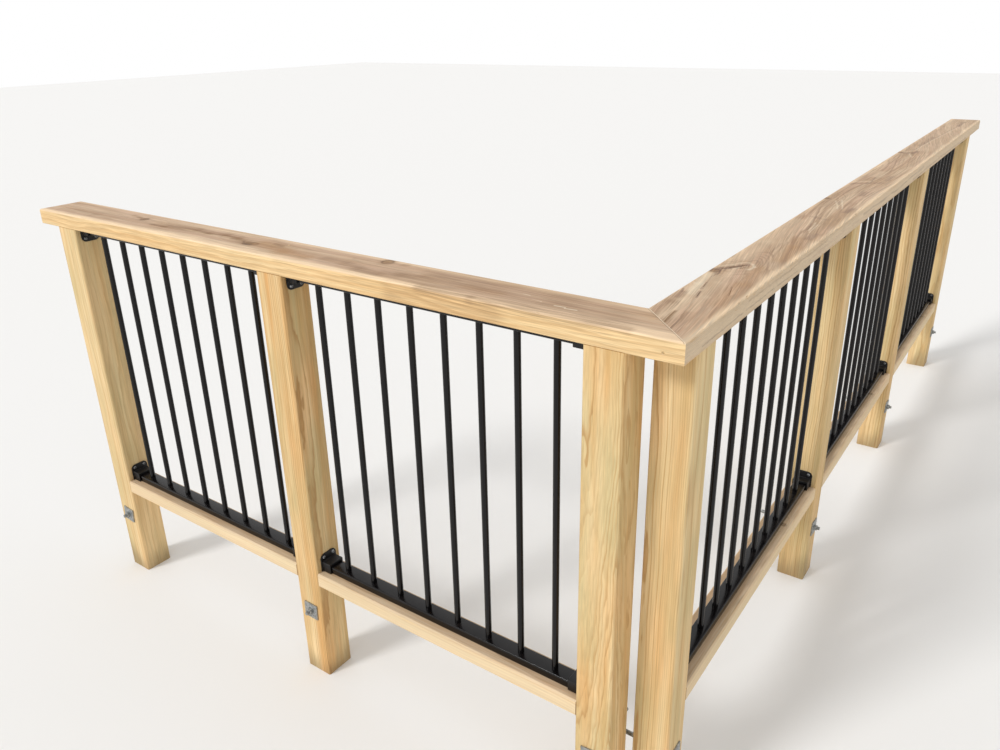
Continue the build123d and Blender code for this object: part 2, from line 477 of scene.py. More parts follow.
# Each board in millimetres: the way it runs, its middle and heart, its rings, and how strongly
# its lines, streaks and fibres show. Worn is an arris: axis, place, depth and amount. A mark
# is its path, half width, fade, amount and tint, and lies on the top face unless it has heights.
boards = {
    "short_run_top_rail": {
        "along": "X", "middle": (-1031, -70, 1277), "heart": (0, 14, -62), "ring": 9.0,
        "wander": 12, "ripple": 8.0, "seed": 3.1, "green": 0.12, "contrast": 0.36, "relief": 0.8,
        "fibres": (0.74, 1.18), "weathered": {"Z": 1.0}, "lines": 0.38, "streaks": 0.25, "mitre": -58.7,
        "worn": [("Y", -140, 26, 1.0), ("Y", 0, 20, 0.5)],
        "knots": [
            ((-1690, -51, 1200), (-1687, -51, 1310), 12),
            ((-1186, -79, 1290), (-1164, -74, 1310), 13),
            ((-749, -24, 1200), (-749, -22, 1310), 15),
        ],
        "bends": [((-699, -24, 1200), (-699, -22, 1310), 10)],
        "marks": [
            ([(-1600, -78), (-1550, -75), (-1430, -56), (-1370, -61), (-1310, -52), (-1254, -57),
              (-1205, -72)], 12, 1.1, 0.62, "streak"),
            ([(-1480, -62), (-1370, -61), (-1310, -54), (-1240, -60)], 5, 1.0, 0.3, "streak"),
            ([(-1215, -70), (-1192, -92)], 3, 0.9, 0.5, "crack"),
            ([(-1184, -85), (-1176, -81)], 6, 0.9, 0.75, "knotRim"),
            ([(-1150, -60), (-1040, -88), (-955, -96)], 20, 1.1, 0.6, "amberStain"),
            ([(-1115, -49), (-1085, -53)], 7, 0.9, 0.45, "streak"),
            ([(-2060, -100), (-1880, -92), (-1790, -100)], 16, 1.1, 0.35, "brown"),
            ([(-1765, -38), (-1720, -46), (-1690, -52)], 7, 0.9, 0.4, "streak"),
            ([(-1690, -53), (-1680, -50)], 7, 1.0, 0.4, "knotRim"),
            ([(-900, -80), (-830, -84), (-770, -100), (-700, -104), (-650, -90), (-600, -66),
              (-520, -54)], 13, 1.1, 0.45, "brown"),
            ([(-699, -25), (-692, -20)], 9, 0.9, 0.35, "streak"),
            ([(-560, -56), (-400, -62), (-240, -70), (-110, -84)], 34, 1.1, 0.35, "brown"),
            ([(-470, -80), (-390, -84)], 16, 1.1, 0.25, "amberStain"),
            ([(-305, -77), (-280, -80)], 1.4, 0.6, 0.8, "scratchAndPaintedLight"),
            ([(-245, -86), (-222, -85)], 1.4, 0.6, 0.8, "scratchAndPaintedLight"),
            ([(-220, -91), (-194, -88)], 1.7, 0.6, 0.8, "scratchAndPaintedLight"),
            ([(-340, -58), (-322, -60)], 1.2, 0.6, 0.6, "scratchAndPaintedLight"),
            ([(-560, -134), (-420, -132), (-60, -130)], 11, 1.0, 0.55, "brown"),
            ([(-640, -140, 1277), (-360, -140, 1272)], 20, 1.1, 0.35, "amberStain"),
        ],
    },
    "long_run_top_rail": {
        "along": "Y", "middle": (-13, 1740, 1277), "heart": (0, 105, -240), "ring": 3.9,
        "slant": 0.08, "swing": 45, "swingLength": 2400, "swingPhase": 3.43,
        "wander": 9, "ripple": 4.0, "seed": 8.4, "green": 0.1, "contrast": 0.6, "relief": 1.3,
        "fibres": (0.66, 1.2), "sideFibres": 0.35, "weathered": {"Z": 1.0, "X": 0.6},
        "lines": 0.85, "streaks": 0.5, "mitre": -58.7,
        "worn": [("X", 57, 15, 0.8), ("X", -83, 16, 0.5)],
        "knots": [
            ((-52, 314, 1262), (-76, 314, 1310), 12),
            ((-58, 1232, 1262), (-90, 1240, 1312), 13),
            ((-54, 2314, 1260), (-86, 2320, 1311), 14),
        ],
        "bends": [((-72, 300, 1300), (-22, 392, 1300), 13), ((-60, 1210, 1300), (-45, 1225, 1300), 10)],
        "marks": [
            # painted light: this band tints the whole outer face pale, as for the sun falling on it
            ([(57, -140, 1277), (57, 3660, 1277)], 21, 0.5, 0.5, "scratchAndPaintedLight"),
            ([(57, -60, 1268), (57, 240, 1272), (57, 520, 1266)], 1.6, 0.9, 0.4, "torn"),
            ([(57, 180, 1288), (57, 460, 1284), (57, 760, 1289)], 2.2, 1.0, 0.35, "brown"),
            ([(57, 600, 1272), (57, 900, 1276), (57, 1300, 1268)], 3.0, 1.0, 0.35, "rose"),
            ([(57, 1150, 1282), (57, 1600, 1276), (57, 2100, 1284)], 2.5, 1.0, 0.35, "torn"),
            ([(57, 1900, 1266), (57, 2500, 1270), (57, 3200, 1264)], 3.5, 1.0, 0.35, "brown"),
            ([(-36, -20), (-44, 80), (-54, 170), (-62, 260)], 17, 1.0, 0.65, "bleached"),
            ([(-52, 130), (-62, 200), (-72, 280)], 11, 1.0, 0.5, "scratchAndPaintedLight"),
            ([(-6, 30), (-14, 120), (-30, 230), (-34, 330)], 9, 1.0, 0.45, "bleached"),
            ([(-50, 440), (-56, 620), (-66, 900)], 18, 1.0, 0.55, "bleached"),
            ([(-21.6, -57.5), (-29.4, 8.5)], 4, 0.9, 0.65, "streak"),
            ([(-62, -20), (-64, 60), (-67, 130)], 11, 1.0, 0.5, "brown"),
            ([(-64, 95), (-66, 128)], 7, 1.0, 0.45, "torn"),
            ([(-67, 130), (-76, 152)], 3, 0.8, 0.5, "torn"),
            ([(-28.5, 109), (-36.6, 152)], 2.4, 0.9, 0.6, "torn"),
            ([(-42, 169), (-49.5, 217)], 2.4, 0.9, 0.6, "torn"),
            ([(-49.5, 217), (-57, 262), (-54, 300), (-64, 330)], 2.2, 0.9, 0.5, "torn"),
            ([(24, 150), (8, 215)], 2.0, 0.9, 0.45, "torn"),
            ([(26, 90), (20, 240), (10, 380)], 17, 1.1, 0.35, "amberStain"),
            ([(-76, 318), (-50, 352), (-22, 392)], 10, 1.0, 0.42, "torn"),
            ([(-61, 337), (-54, 347)], 3.6, 0.9, 0.6, "knotRim"),
            ([(-48, 355), (-40, 369)], 4.4, 0.9, 0.7, "knotRim"),
            ([(-33, 374), (-26, 387)], 3.8, 0.9, 0.65, "knotRim"),
            ([(-24, 357), (-21, 368)], 2.6, 0.9, 0.5, "knotRim"),
            ([(-72, 350), (-52, 378), (-42, 400), (-26, 410)], 5, 1.0, 0.7, "bleached"),
            ([(-38, 346), (-31, 361)], 3.2, 1.0, 0.5, "scratchAndPaintedLight"),
            ([(-8, 356), (-4, 384), (-16, 404)], 4, 1.0, 0.55, "scratchAndPaintedLight"),
            ([(40, 380), (22, 440), (2, 500), (-10, 640)], 3.0, 1.1, 0.32, "torn"),
            ([(28, 376), (10, 430), (-10, 490), (-20, 620)], 2.6, 1.1, 0.28, "torn"),
            ([(48, 400), (34, 470), (20, 560), (10, 660)], 2.6, 1.1, 0.28, "torn"),
            ([(26, 470), (18, 600), (6, 690)], 20, 1.1, 0.4, "amberStain"),
            ([(40, 700), (26, 780), (22, 900), (30, 1080)], 20, 1.1, 0.45, "beige"),
            ([(24, 700), (30, 760)], 9, 1.0, 0.4, "torn"),
            ([(-4, 760), (-12, 870)], 4, 1.1, 0.35, "torn"),
            ([(8, 770), (0, 870)], 1.8, 1.0, 0.45, "scratchAndPaintedLight"),
            ([(0, 790), (-10, 890)], 1.8, 1.0, 0.45, "scratchAndPaintedLight"),
            ([(26, 1060), (32, 1120)], 9, 1.0, 0.45, "torn"),
            ([(2, 940), (-40, 960)], 8, 1.0, 0.3, "torn"),
            ([(6, 1100), (-10, 1165), (-26, 1230)], 2.0, 1.0, 0.45, "scratchAndPaintedLight"),
            ([(-8, 1098), (-24, 1160), (-42, 1215)], 2.0, 1.0, 0.45, "scratchAndPaintedLight"),
            ([(-1, 1100), (-17, 1164), (-34, 1220)], 3, 1.1, 0.3, "torn"),
            ([(-72, 1250), (-60, 1300), (-76, 1420)], 10, 1.1, 0.3, "beige"),
            ([(8, 1330), (4, 1390)], 14, 1.1, 0.4, "torn"),
            ([(-72, 1520), (9, 1580)], 10, 1.1, 0.4, "torn"),
            ([(-80, 1556), (-30, 1592)], 9, 1.0, 0.5, "bleached"),
            ([(-20, 1590), (-30, 1690)], 2.5, 0.9, 0.5, "torn"),
            ([(20, 1640), (16, 1720)], 10, 1.1, 0.35, "torn"),
            ([(-30, 1700), (-36, 1800)], 16, 1.1, 0.5, "bleached"),
            ([(0, 1900), (10, 2100)], 22, 1.1, 0.35, "beige"),
            ([(-10, 2200), (-38, 2310)], 3, 1.1, 0.35, "scratchAndPaintedLight"),
            ([(-60, 2300), (-22, 2322), (-20, 2372)], 8, 1.0, 0.55, "torn"),
            ([(-56, 2330), (-40, 2380)], 8, 1.0, 0.5, "bleached"),
            ([(-36, 2400), (-30, 2700), (-20, 2950), (-2, 3300), (4, 3550)], 3, 0.9, 0.5, "torn"),
            ([(-30, 2400), (-24, 2700), (-12, 2950), (6, 3300)], 2.5, 0.9, 0.4, "scratchAndPaintedLight"),
            ([(0, 2450), (-14, 3640)], 62, 0.6, 0.3, "bleached"),
            ([(-40, 2550), (-36, 2850)], 8, 1.1, 0.35, "torn"),
            ([(0, 3330), (-4, 3540)], 8, 1.1, 0.4, "torn"),
        ],
    },
}
# The posts are cut beside the heart, so most of their faces show lines that run lengthways.
# A bend's place is measured from the middle of the post.
posts = {
    "long_run_corner_post": {"heart": (0, -30, 36), "ring": 4.6, "ripple": 3.0, "seed": 11.3},
    "long_run_end_post": {
        "heart": (0, 38, -30), "ring": 7.2, "seed": 13.0, "bends": [((0, 0, 618), (-60, -12, 640), 7)],
    },
    "long_run_second_post": {
        "heart": (0, -42, 22), "ring": 6.4, "seed": 14.7, "bends": [((0, 0, 300), (-8, 60, 322), 9)],
    },
    "long_run_third_post": {"heart": (0, 30, 44), "ring": 7.0, "seed": 16.4},
    "short_run_corner_post": {
        "heart": (0, 12, 37), "ring": 6.5, "slant": -0.054, "ripple": 13.0, "seed": 18.1, "amber": 1.0,
        "contrast": 0.7, "bends": [((0, 0, 820), (-55, 12, 850), 8)],
    },
    "short_run_end_post": {
        "heart": (0, 52, 60), "ring": 8.0, "seed": 19.8, "amber": 0.6, "contrast": 0.4,
        "bends": [((0, 0, 1010), (10, 60, 1035), 6)],
    },
    "short_run_middle_post": {
        "heart": (0, -35, 35), "ring": 6.8, "seed": 21.5, "amber": 1.2,
        "bends": [((0, 0, 540), (12, 60, 561), 7)],
    },
}
for name, post in posts.items():
    middle = measured(name)[2]
    centre = Vector((middle.x, middle.y, 0))
    post["bends"] = [
        (centre + Vector(start), centre + Vector(finish), size)
        for start, finish, size in post.get("bends", [])
    ]
    boards[name] = {
        "along": "Z", "middle": middle, "wander": 8, "ripple": 9.0, "green": 0.6, "amber": 0.8,
        "contrast": 0.8, "thinness": 2.4, "fibres": (0.84, 1.09), **post,
    }
for number in bays:
    name = f"bay_{number}_base_rail"
    low, high, middle, lengthways = measured(name)
    if lengthways == 0:
        knotX, knotY = middle.x + 210, middle.y + 30
        paintedSkyLitFace = [(low.x, low.y, middle.z), (high.x, low.y, middle.z)]
    else:
        knotX, knotY = middle.x + 24, middle.y + 260
        paintedSkyLitFace = [(high.x, low.y, middle.z), (high.x, high.y, middle.z)]
    boards[name] = {
        "along": "XY"[lengthways], "middle": middle, "ring": 7.5, "wander": 8,
        "heart": (0, 10 * (number - 3), -50 - 5 * number), "seed": 31.0 + 2.3 * number,
        "green": 0.4, "contrast": 0.5, "weathered": {"Z": 0.7}, "lines": 0.4, "streaks": 0.3,
        "knots": [((knotX, knotY, 330), (knotX, knotY, 375), 7)],
        # painted light: the outer face is tinted pale, as for the sky light falling on it
        "marks": [(paintedSkyLitFace, 26, 0.5, 0.45, "scratchAndPaintedLight")],
    }
for name, board in boards.items():
    nodes[name].data.materials.clear()
    nodes[name].data.materials.append(pineMaterial("treatedPine_" + name, board))
print("timber:", len(boards), "boards")

# Metal and plastic

coats = {  # peel is the size of the surface's unevenness, and its depth, in millimetres
    "gloss": {"colour": "#080607", "dust": "#332D2B", "roughness": 0.17, "shine": 0.3,
              "peel": 1.6, "peelDepth": 0.04},
    "nylon": {"colour": "#080708", "dust": "#282322", "roughness": 0.42, "shine": 0.35,
              "peel": 0.6, "peelDepth": 0.03},
}


def coatMaterial(name, coat):
    mat, add, spot = newMaterial(name)
    peel = add(noiseTexture, {"Vector": spot, "Scale": 1 / coat["peel"], "Detail": 1.0})
    cloud = add(noiseTexture, {"Vector": spot, "Scale": 1 / 45, "Detail": 4.0, "Roughness": 0.65})
    facing = add("ShaderNodeSeparateXYZ", [add("ShaderNodeNewGeometry").outputs["Normal"]])
    level = add(mapRange, [facing.outputs["Z"], 0.2, 1, 0.05, 0.2])
    settled = add(mapRange, [cloud, 0.42, 0.72, 0, level.outputs[0]])
    colour = add(mixColour, [settled, coat["colour"], coat["dust"]])
    rough = add(mapRange, [settled, 0, 1, coat["roughness"], 0.8])
    bump = add("ShaderNodeBump", {
        "Height": peel, "Distance": coat["peelDepth"] * mm, "Strength": 0.6,
    })
    add("ShaderNodeOutputMaterial", [add("ShaderNodeBsdfPrincipled", {
        "Base Color": colour, "Roughness": rough, "Normal": bump, "IOR": 1.5,
        "Specular IOR Level": coat["shine"],
    })])
    return mat


def zincMaterial(name, pale, dull, roughness, grain):
    mat, add, spot = newMaterial(name)
    flakes = add("ShaderNodeTexVoronoi", {"Vector": spot, "Scale": 1 / grain})
    bloom = add(noiseTexture, {"Vector": spot, "Scale": 1 / 9, "Detail": 3.0})
    mixed = add(scalarMath, [flakes.outputs["Color"], 0.3, bloom], "MULTIPLY_ADD")
    tone = add(mapRange, [mixed, 0.4, 0.9])
    colour = add(mixColour, [tone, pale, dull])
    rough = add(mapRange, [tone, 0, 1, roughness, roughness + 0.25])
    bump = add("ShaderNodeBump", {"Height": bloom, "Distance": 0.1 * mm, "Strength": 0.4})
    add("ShaderNodeOutputMaterial", [add("ShaderNodeBsdfPrincipled", {
        "Base Color": colour, "Roughness": rough, "Normal": bump, "Metallic": 1.0,
    })])
    return mat


# Powder-coated aluminium: near black and glossy, a faint orange peel, dust on upper faces
glossBlack = coatMaterial("powderCoatedAluminium", coats["gloss"])
# Glass-filled nylon, moulded: black, softer shine than the coat
mouldedNylon = coatMaterial("mouldedNylon", coats["nylon"])
# Hot-dip galvanised steel: dull silver with a faint spangle and a whitish bloom
galvanised = zincMaterial("galvanisedSteel", "#B9BBBA", "#878988", 0.38, 4.0)
# The same on nail heads, tinted warm by the wood's sap and the weather, and made pale as a painted
# highlight of the light the heads catch
nailSteelPaintedPale = zincMaterial("stainedNailSteelPaintedHighlight", "#EBD8B4", "#C6AC80", 0.5, 3.0)
# Zinc-plated screw steel, a little tarnished
platedScrew = zincMaterial("platedScrewSteel", "#9FA1A3", "#5A5A5B", 0.3, 4.0)

for name, obj in nodes.items():
    if name.endswith("_bars"):
        obj.data.materials.clear()
        obj.data.materials.append(glossBlack)

# Panel rails: extruded box section with rounded edges

railSection = {"edge": 2.6, "innerEdge": 0.6, "wall": 2.0, "steps": 4}


def sectionLoop(halfWidth, halfDepth, edge):
    # a rectangle's outline with round corners
    outline = []
    for turn, (right, top) in enumerate(((1, 1), (-1, 1), (-1, -1), (1, -1))):
        for step in range(railSection["steps"] + 1):
            angle = math.radians(90 * (turn + step / railSection["steps"]))
            outline.append((
                right * (halfWidth - edge) + edge * math.cos(angle),
                top * (halfDepth - edge) + edge * math.sin(angle),
            ))
    return outline


def panelRail(name):
    low, high, middle, lengthways = measured(name)
    sideways = 1 - lengthways
    halfWidth = (high[sideways] - low[sideways]) / 2
    halfDepth = (high.z - low.z) / 2
    bm = bmesh.new()
    loops = []
    for inset, edge in ((0, railSection["edge"]), (railSection["wall"], railSection["innerEdge"])):
        for end in (low[lengthways], high[lengthways]):
            loop = []
            for aside, up in sectionLoop(halfWidth - inset, halfDepth - inset, edge):
                place = [0, 0, middle.z + up]
                place[lengthways] = end
                place[sideways] = middle[sideways] + aside
                loop.append(bm.verts.new([v * mm for v in place]))
            loops.append(loop)
    outerStart, outerEnd, innerStart, innerEnd = loops
    walls = (
        (outerStart, outerEnd), (innerStart, innerEnd),
        (outerStart, innerStart), (outerEnd, innerEnd),
    )
    for a in range(len(outerStart)):
        b = (a + 1) % len(outerStart)
        for one, other in walls:
            bm.faces.new((one[a], one[b], other[b], other[a]))
    bmesh.ops.recalc_face_normals(bm, faces=bm.faces)
    mesh = bpy.data.meshes.new(name + "_section")
    bm.to_mesh(mesh)
    bm.free()
    shadeSmooth(mesh)
    mesh.materials.append(glossBlack)
    dress(newPiece(name + "_section", mesh), "black_aluminium", name)


for number in bays:
    for rail in ("foot", "head"):
        panelRail(f"bay_{number}_{rail}_rail")
print("panel rails extruded")

# Brackets: moulded edges, and two screws in each plate

bracket = {
    "edge": 1.5, "steps": 3, "plate": 4, "footRise": 54, "headRise": 42,
    "screwSpread": 17, "screwFromEdge": 10.5,
    "screw": {"Head Diameter": 10.5, "Head Height": 3.2, "Recess": 4.6},
}


def cleanMesh(name, title):
    # a node's shape with its flat faces whole again, as a new mesh
    bm = bmesh.new()
    bm.from_mesh(nodes[name].data)
    bmesh.ops.remove_doubles(bm, verts=bm.verts, dist=0.02 * mm)
    bmesh.ops.dissolve_limit(bm, angle_limit=math.radians(1), verts=bm.verts, edges=bm.edges)
    bmesh.ops.recalc_face_normals(bm, faces=bm.faces)
    mesh = bpy.data.meshes.new(title)
    bm.to_mesh(mesh)
    bm.free()
    return mesh


for number in bays:
    name = f"bay_{number}_brackets"
    mesh = cleanMesh(name, name + "_moulded")
    mesh.materials.append(mouldedNylon)
    shell = newPiece(name + "_moulded", mesh)
    dress(roundOff(shell, bracket["edge"] * mm, bracket["steps"]), "black_bracket", name)
print("brackets moulded")

# Heads set on points: a low crowned disc with a sunk recess, turned at random
setHeads, add, given = newGroup("setHeads", "GeometryNodeTree", {
    "Geometry": ["Geometry"], "Material": ["Material"], "Int": ["Recess Sides", "Seed"],
    "Float": ["Head Diameter", "Head Height", "Crown", "Recess"],
}, {"Geometry": ["Geometry"]})
height = given["Head Height"]
radius = add(scalarMath, [given["Head Diameter"], 0.5], "MULTIPLY")
crownRadius = add(scalarMath, [radius, given["Crown"]], "MULTIPLY")
cone = add("GeometryNodeMeshCone", {
    "Vertices": 20, "Radius Top": crownRadius, "Radius Bottom": radius, "Depth": height,
})
recessRadius = add(scalarMath, [given["Recess"], 0.5], "MULTIPLY")
punch = add("GeometryNodeMeshCylinder", {
    "Vertices": given["Recess Sides"], "Radius": recessRadius, "Depth": height,
})
lift = add("ShaderNodeCombineXYZ", {"Z": add(scalarMath, [height, 0.9], "MULTIPLY")})
punch = add("GeometryNodeTransform", {"Geometry": punch, "Translation": lift})
head = add("GeometryNodeMeshBoolean", [cone, punch], "DIFFERENCE", solver="EXACT")
turn = add("FunctionNodeRandomValue", {
    "Max": (0, 0, 2 * math.pi), "Seed": given["Seed"],
}, data_type="FLOAT_VECTOR")
spin = add("FunctionNodeEulerToRotation", [turn])
finishTree(add, standOn(add, given["Geometry"], head, spin), given["Material"])

screwSpots = []
for number in bays:
    low, high, middle, lengthways = measured(f"bay_{number}_brackets")
    footLevel = low.z + bracket["footRise"] - bracket["screwFromEdge"]
    headLevel = high.z - bracket["headRise"] + bracket["screwFromEdge"]
    for end, outwards in ((low, 1), (high, -1)):
        for level in (footLevel, headLevel):
            for side in (-1, 1):
                place = middle.copy()
                place[lengthways] = end[lengthways] + bracket["plate"] * outwards
                place[1 - lengthways] += side * bracket["screwSpread"]
                place.z = level
                way = [0, 0, 0]
                way[lengthways] = outwards
                screwSpots.append((place, way))
screws = growOnPoints("bracketScrews", setHeads, screwSpots, bracket["screw"], {
    "Crown": 0.62, "Recess Sides": 6, "Seed": 4, "Material": platedScrew,
})
dress(screws, "zinc_steel")
print("screws set:", len(screwSpots))

# Top rails: drying checks, hollows at the knots, knocks along the outer arris, and nails
# driven a little below the face, each at the bottom of its own dimple

upwards = (0, 0, 1)
railWork = {
    "nails": {
        "short_run_top_rail": [((-2065, -86, 1300), upwards), ((-1077, -38, 1300), upwards),
                               ((15, -140, 1273), (0, -1, 0))],
        "long_run_top_rail": [((-20, 1150, 1300), upwards), ((12, 2282, 1300), upwards),
                              ((-35, 3414, 1300), upwards)],
    },
    "nail": {"Head Diameter": 5.6, "Head Height": 0.9, "Recess": 2.4}, "nailSunk": 0.95,
    "dimple": (7.6, 1.3),  # across and deep
    # x, y, length, width, depth and the turn from +X in degrees
    "hollows": {
        "short_run_top_rail": [
            (-1196, -88, 20, 1.2, 2.0, -44), (-1174, -77, 44, 28, 0.9, 6), (-1690, -50, 36, 24, 0.7, 0),
            (-749, -22, 34, 30, 0.8, 0), (-2085, -62, 60, 1.1, 4.0, 2), (-48, -56, 26, 1.4, 2.5, 18),
        ],
        "long_run_top_rail": [
            (-25, -24, 66, 5.0, 1.6, 97), (-33.5, 134, 38, 1.2, 2.5, 101), (-47, 198, 40, 1.2, 2.5, 100),
            (16, 182, 64, 1.2, 2.5, 104), (-72, 314, 30, 24, 1.2, 90), (-45, 356, 64, 18, 1.0, 56),
            (-44, 362, 16, 6, 2.0, 60), (-30, 380, 15, 5, 1.8, 62), (-8, 815, 60, 1.0, 2.0, 94),
            (-30, 1550, 96, 16, 0.7, 36), (-2, 3610, 80, 1.3, 4.0, 89),
        ],
    },
    "knocks": 26, "knockSizes": (8, 34), "knockDepth": 1.3,
}
arrisLines = {  # the upper outer arris of each rail
    "short_run_top_rail": ((-2117, -140, 1300), (57, -140, 1300)),
    "long_run_top_rail": ((57, -140, 1300), (57, 3659, 1300)),
}


def dish(bm, place, size, turn=0.0, steps=16):
    # a flattened ball to hollow out a rail with
    bmesh.ops.create_uvsphere(bm, u_segments=steps, v_segments=steps // 2, radius=0.5, matrix=(
        Matrix.Translation(Vector(place) * mm)
        @ Matrix.Rotation(math.radians(turn), 4, "Z")
        @ Matrix.Diagonal((*[v * mm for v in size], 1.0))
    ))


def workedRail(name):
    bm = bmesh.new()
    for place, way in railWork["nails"][name]:
        across, deep = railWork["dimple"]
        dish(bm, place, [2 * deep if step else across for step in way])
    for x, y, length, width, depth, turn in railWork["hollows"][name]:
        dish(bm, (x, y, topLevel + 0.1), (length, width, 2 * depth), turn, 24)
    start, finish = [Vector(end) for end in arrisLines[name]]
    chance = random.Random(len(name))
    turn = math.degrees(math.atan2(finish.y - start.y, finish.x - start.x))
    for number in range(railWork["knocks"]):
        place = start.lerp(finish, chance.uniform(0.01, 0.97))
        place += Vector([chance.uniform(-1.5, 0.5) for axis in range(3)])
        depth = railWork["knockDepth"] * chance.uniform(2.5, 5)
        dish(bm, place, (chance.uniform(*railWork["knockSizes"]), depth, depth), turn, 12)
    mesh = bpy.data.meshes.new(name + "_cutter")
    bm.to_mesh(mesh)
    bm.free()
    cutter = newPiece(name + "_cutter", mesh)

    mesh = cleanMesh(name, name + "_worked")
    mesh.materials.append(nodes[name].data.materials[0])
    rail = newPiece(name + "_worked", mesh)
    cut = rail.modifiers.new("hollows", "BOOLEAN")
    cut.object = cutter
    cut.solver = "EXACT"
    cut.use_self = True
    settle(rail)
    bpy.data.objects.remove(cutter)
    shadeSmooth(rail.data)
    rail.modifiers.new("flatFaces", "WEIGHTED_NORMAL").keep_sharp = True
    dress(settle(rail), "treated_pine", name)
    print(rail.name, len(rail.data.polygons), "faces")


nailSpots = []
for name, spots in railWork["nails"].items():
    workedRail(name)
    for place, way in spots:
        nailSpots.append((Vector(place) - Vector(way) * railWork["nailSunk"], way))
nailHeads = growOnPoints("nailHeads", setHeads, nailSpots, railWork["nail"], {
    "Crown": 0.8, "Recess Sides": 10, "Seed": 2, "Material": nailSteelPaintedPale,
})
dress(nailHeads, "zinc_steel")
print("rails worked, nails set:", len(nailSpots))

# Wall anchors: threaded rod, nut and square washer, grown where each rod leaves its post

anchor = {
    "Rod Diameter": 12, "Pitch": 1.75, "Thread Depth": 0.75, "Washer Width": 50, "Washer Thickness": 4,
    "Nut Width": 18, "Nut Height": 10, "Rod Tail": 8, "Post Width": 90, "Embedment": 90,
}
anchorEdge = 0.6 * mm
growAnchors, add, size = newGroup("growAnchors", "GeometryNodeTree", {
    "Geometry": ["Geometry"], "Material": ["Material"], "Int": ["Seed"],
    "Float": [*anchor, "Washer Slew"],
}, {"Geometry": ["Geometry"]})
washerTop = size["Washer Thickness"]
nutTop = add(scalarMath, [washerTop, size["Nut Height"]], "ADD")
rodTop = add(scalarMath, [nutTop, size["Rod Tail"]], "ADD")
rodBottom = add(scalarMath, [size["Post Width"], size["Embedment"]], "ADD")


def lifted(shape, height, angle=0):
    # a shape raised along the rod and turned about it
    return addNode(growAnchors, "GeometryNodeTransform", {
        "Geometry": shape,
        "Translation": addNode(growAnchors, "ShaderNodeCombineXYZ", {"Z": height}),
        "Rotation": (0, 0, angle),
    })


cornerReach = add(scalarMath, [size["Washer Width"], math.sqrt(0.5)], "MULTIPLY")
plate = add("GeometryNodeMeshCylinder", {"Vertices": 4, "Radius": cornerReach, "Depth": washerTop})
halfWasher = add(scalarMath, [washerTop, 0.5], "MULTIPLY")
plate = lifted(plate, halfWasher, math.radians(45))

# the nut is a hexagon turned down at its outer corners by a cone, whose radius at the outer
# face is this share of the nut's width
turnedShare = 0.475
hexRadius = add(scalarMath, [size["Nut Width"], math.sqrt(1 / 3)], "MULTIPLY")
nutHeight = size["Nut Height"]
hexagon = add("GeometryNodeMeshCylinder", {"Vertices": 6, "Radius": hexRadius, "Depth": nutHeight})
faceRadius = add(scalarMath, [size["Nut Width"], turnedShare], "MULTIPLY")
slope = math.sqrt(3)
past = 0.1  # the cone reaches past the nut's ends by this share of its height
tipRadius = add(scalarMath, [nutHeight, -past * slope, faceRadius], "MULTIPLY_ADD")
rootRadius = add(scalarMath, [nutHeight, (1 + past) * slope, faceRadius], "MULTIPLY_ADD")
turned = add("GeometryNodeMeshCone", {
    "Vertices": 40, "Radius Top": tipRadius, "Radius Bottom": rootRadius,
    "Depth": add(scalarMath, [nutHeight, 1 + 2 * past], "MULTIPLY"),
})
turned = lifted(turned, add(scalarMath, [nutHeight, -0.5 - past], "MULTIPLY"))
nut = add("GeometryNodeMeshBoolean", {"Mesh 2": hexagon}, operation="INTERSECT", solver="EXACT")
growAnchors.links.new(turned.outputs[0], nut.inputs["Mesh 2"])
nut = lifted(nut, add(scalarMath, [nutHeight, 0.5, washerTop], "MULTIPLY_ADD"))

rodRadius = add(scalarMath, [size["Rod Diameter"], 0.5], "MULTIPLY")
coreRadius = add(scalarMath, [rodRadius, size["Thread Depth"]], "SUBTRACT")
rodLength = add(scalarMath, [rodTop, rodBottom], "ADD")
core = add("GeometryNodeMeshCylinder", {"Vertices": 24, "Radius": coreRadius, "Depth": rodLength})
rodMiddle = add(scalarMath, [rodTop, rodBottom], "SUBTRACT")
rodMiddle = add(scalarMath, [rodMiddle, 0.5], "MULTIPLY")
ridge = add("GeometryNodeCurvePrimitiveCircle", {"Resolution": 4, "Radius": size["Thread Depth"]})
rods = add("GeometryNodeJoinGeometry", [lifted(core, rodMiddle)])
inWall = add(scalarMath, [rodBottom, -1.0], "MULTIPLY")
for start, length in ((nutTop, size["Rod Tail"]), (inWall, size["Embedment"])):
    # the ridge stops one thread depth short of each end
    shown = add(scalarMath, [size["Thread Depth"], -2.0, length], "MULTIPLY_ADD")
    turns = add(scalarMath, [shown, size["Pitch"]], "DIVIDE")
    helix = add("GeometryNodeCurveSpiral", {
        "Resolution": 16, "Rotations": turns,
        "Start Radius": coreRadius, "End Radius": coreRadius, "Height": shown,
    })
    thread = add("GeometryNodeCurveToMesh", {"Curve": helix, "Profile Curve": ridge, "Fill Caps": True})
    base = add(scalarMath, [start, size["Thread Depth"]], "ADD")
    growAnchors.links.new(lifted(thread, base).outputs[0], rods.inputs[0])

